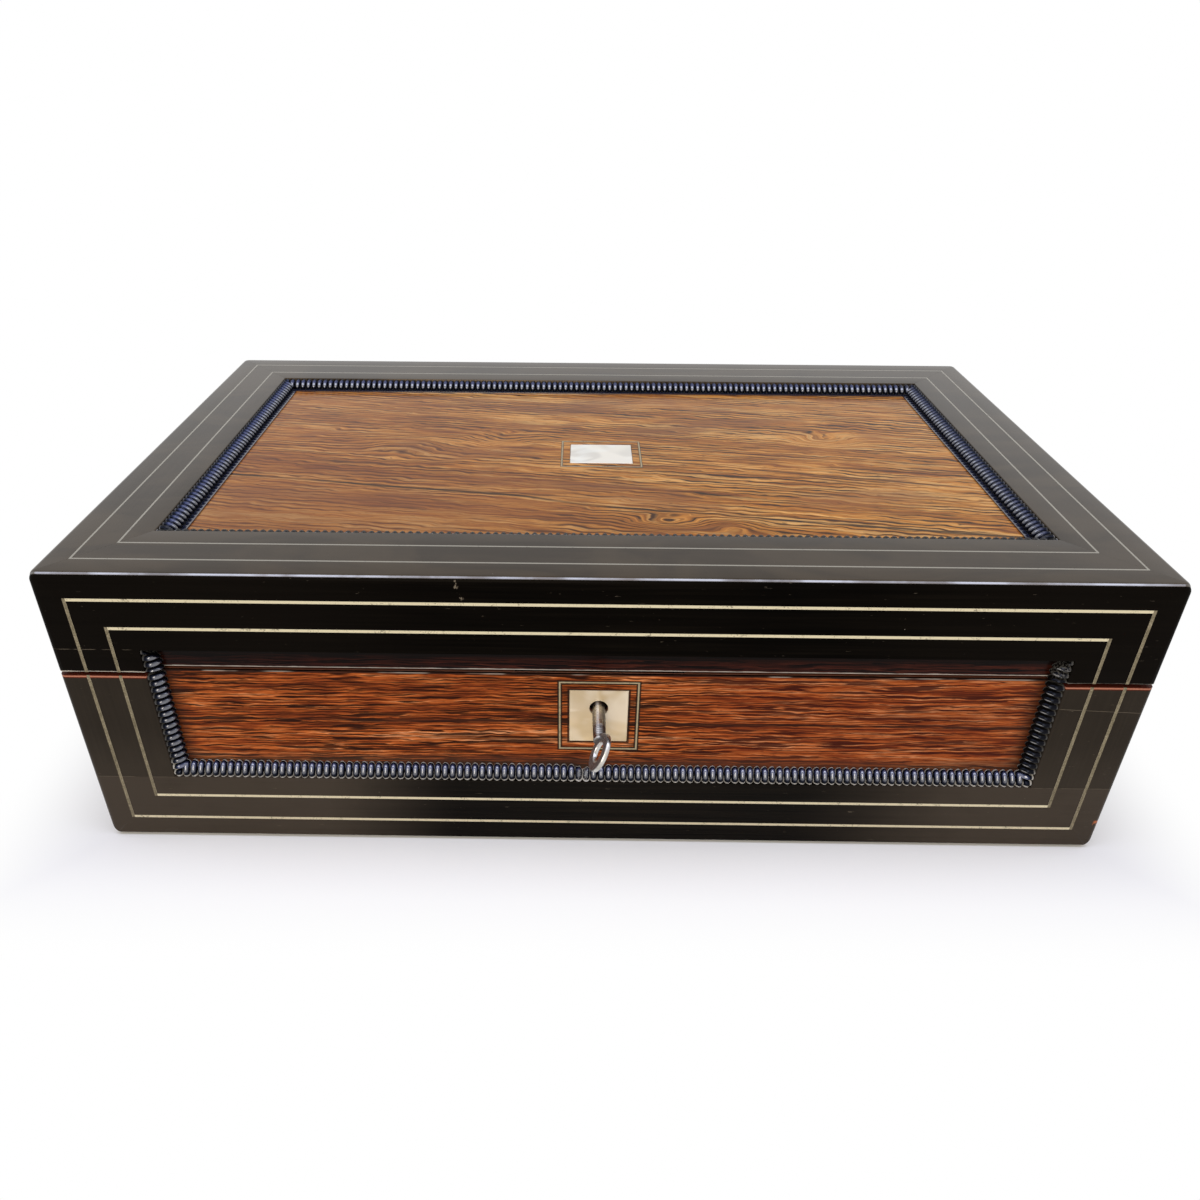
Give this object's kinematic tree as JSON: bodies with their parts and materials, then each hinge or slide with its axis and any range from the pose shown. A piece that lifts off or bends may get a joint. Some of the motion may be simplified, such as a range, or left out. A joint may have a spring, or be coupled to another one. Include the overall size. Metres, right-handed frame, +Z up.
{
  "type": "writing slope",
  "caption": "Oblong box for papers that opens along a sloping split into a leather-lined desk, with a lock and key, framed rosewood panels, rippled mouldings and inlaid lines.",
  "frame": {"origin": "middle of the underside of the case, on the surface that it stands on", "axes": "+X to the right of someone facing the lock, +Y from the lock to the hinges, +Z up"},
  "size_m": [0.406, 0.2729, 0.127],
  "materials": {
    "ebonised_wood": "near-black ebonised wood, french polished to a gloss",
    "front_rosewood": "red-brown rosewood veneer with dark streaks, polished",
    "top_rosewood": "golden-brown rosewood veneer with dark streaks, high gloss",
    "dark_rosewood": "dark red-brown stained wood, worn along its lower edge",
    "mahogany": "red mahogany, satin",
    "mother_of_pearl": "polished mother-of-pearl",
    "string_metal": "pale metal inlay lines, dulled",
    "brass": "aged brass, satin",
    "steel": "polished steel, slightly dulled",
    "leather": "dark green skiver leather with a tooled border",
    "baize": "green baize",
    "glass": "clear thick glass"
  },
  "bodies": {
    "base": {"base_back_board": "ebonised_wood", "base_left_board": "ebonised_wood", "base_right_board": "ebonised_wood", "base_front_rail": "ebonised_wood", "base_left_stile": "ebonised_wood", "base_right_stile": "ebonised_wood", "base_ripple_bottom": "ebonised_wood", "base_ripple_left": "ebonised_wood", "base_ripple_right": "ebonised_wood", "base_front_panel": "front_rosewood", "base_bottom_board": "mahogany", "base_front_board": "mahogany", "pen_tray": "mahogany", "tray_wall": "mahogany", "cell_divider_left": "mahogany", "cell_divider_right": "mahogany", "escutcheon": "mother_of_pearl", "base_outer_string": "string_metal", "base_inner_string": "string_metal", "escutcheon_border": "string_metal", "base_hinge_left": "brass", "base_hinge_right": "brass", "lock_case": "brass", "lock_plate": "brass", "ink_cap_left": "brass", "ink_cap_right": "brass", "base_baize": "baize", "ink_bottle_left": "glass", "ink_bottle_right": "glass"},
    "lid": {"lid_back_board": "ebonised_wood", "lid_left_board": "ebonised_wood", "lid_right_board": "ebonised_wood", "lid_front_frame": "ebonised_wood", "lid_ripple_front": "ebonised_wood", "lid_ripple_back": "ebonised_wood", "lid_ripple_left": "ebonised_wood", "lid_ripple_right": "ebonised_wood", "lid_top_rail_front": "ebonised_wood", "lid_top_rail_back": "ebonised_wood", "lid_top_rail_left": "ebonised_wood", "lid_top_rail_right": "ebonised_wood", "lid_top_panel": "top_rosewood", "lid_front_strip": "dark_rosewood", "lid_front_board": "mahogany", "lid_top_board": "mahogany", "tablet": "mother_of_pearl", "lid_front_outer_string": "string_metal", "lid_front_inner_string": "string_metal", "lid_top_outer_string": "string_metal", "lid_top_inner_string": "string_metal", "tablet_border": "string_metal", "lid_hinge_left": "brass", "lid_hinge_right": "brass", "lock_link_plate": "brass"},
    "base_flap": {"base_flap": "mahogany", "base_flap_leather": "leather"},
    "lid_flap": {"lid_flap": "mahogany", "lid_flap_leather": "leather"},
    "key": {"key": "steel"},
    "lock_bolt": {"lock_bolt": "steel"}
  },
  "joints": [
    {"name": "lid_hinge", "type": "hinge", "parent": "base", "child": "lid", "pos_m": [0, 0.1228, 0.0635], "axis": [-1, 0, 0], "range_deg": [0, 180]},
    {"name": "base_flap_hinge", "type": "hinge", "parent": "base", "child": "base_flap", "pos_m": [0, 0.10708, 0.06029], "axis": [-1, 0, 0], "range_deg": [0, 80]},
    {"name": "lid_flap_hinge", "type": "hinge", "parent": "lid", "child": "lid_flap", "pos_m": [0, 0.10783, 0.06926], "axis": [1, 0, 0], "range_deg": [0, 80]},
    {"name": "key_turn", "type": "hinge", "parent": "base", "child": "key", "pos_m": [-0.0015, -0.1205, 0.06639], "axis": [0, 1, 0], "range_deg": [-27, 333]},
    {"name": "bolt_slide", "type": "slide", "parent": "base", "child": "lock_bolt", "axis": [1, 0, 0], "range_m": [-0.00049, 0.006]}
  ],
  "couplings": [
    {"joint": "base_flap_hinge", "follows": "lid_hinge", "ratio": 0.4444},
    {"joint": "lid_flap_hinge", "follows": "lid_hinge", "ratio": 0.4444},
    {"joint": "key_turn", "follows": "bolt_slide", "rad_per_m": 968.65}
  ]
}
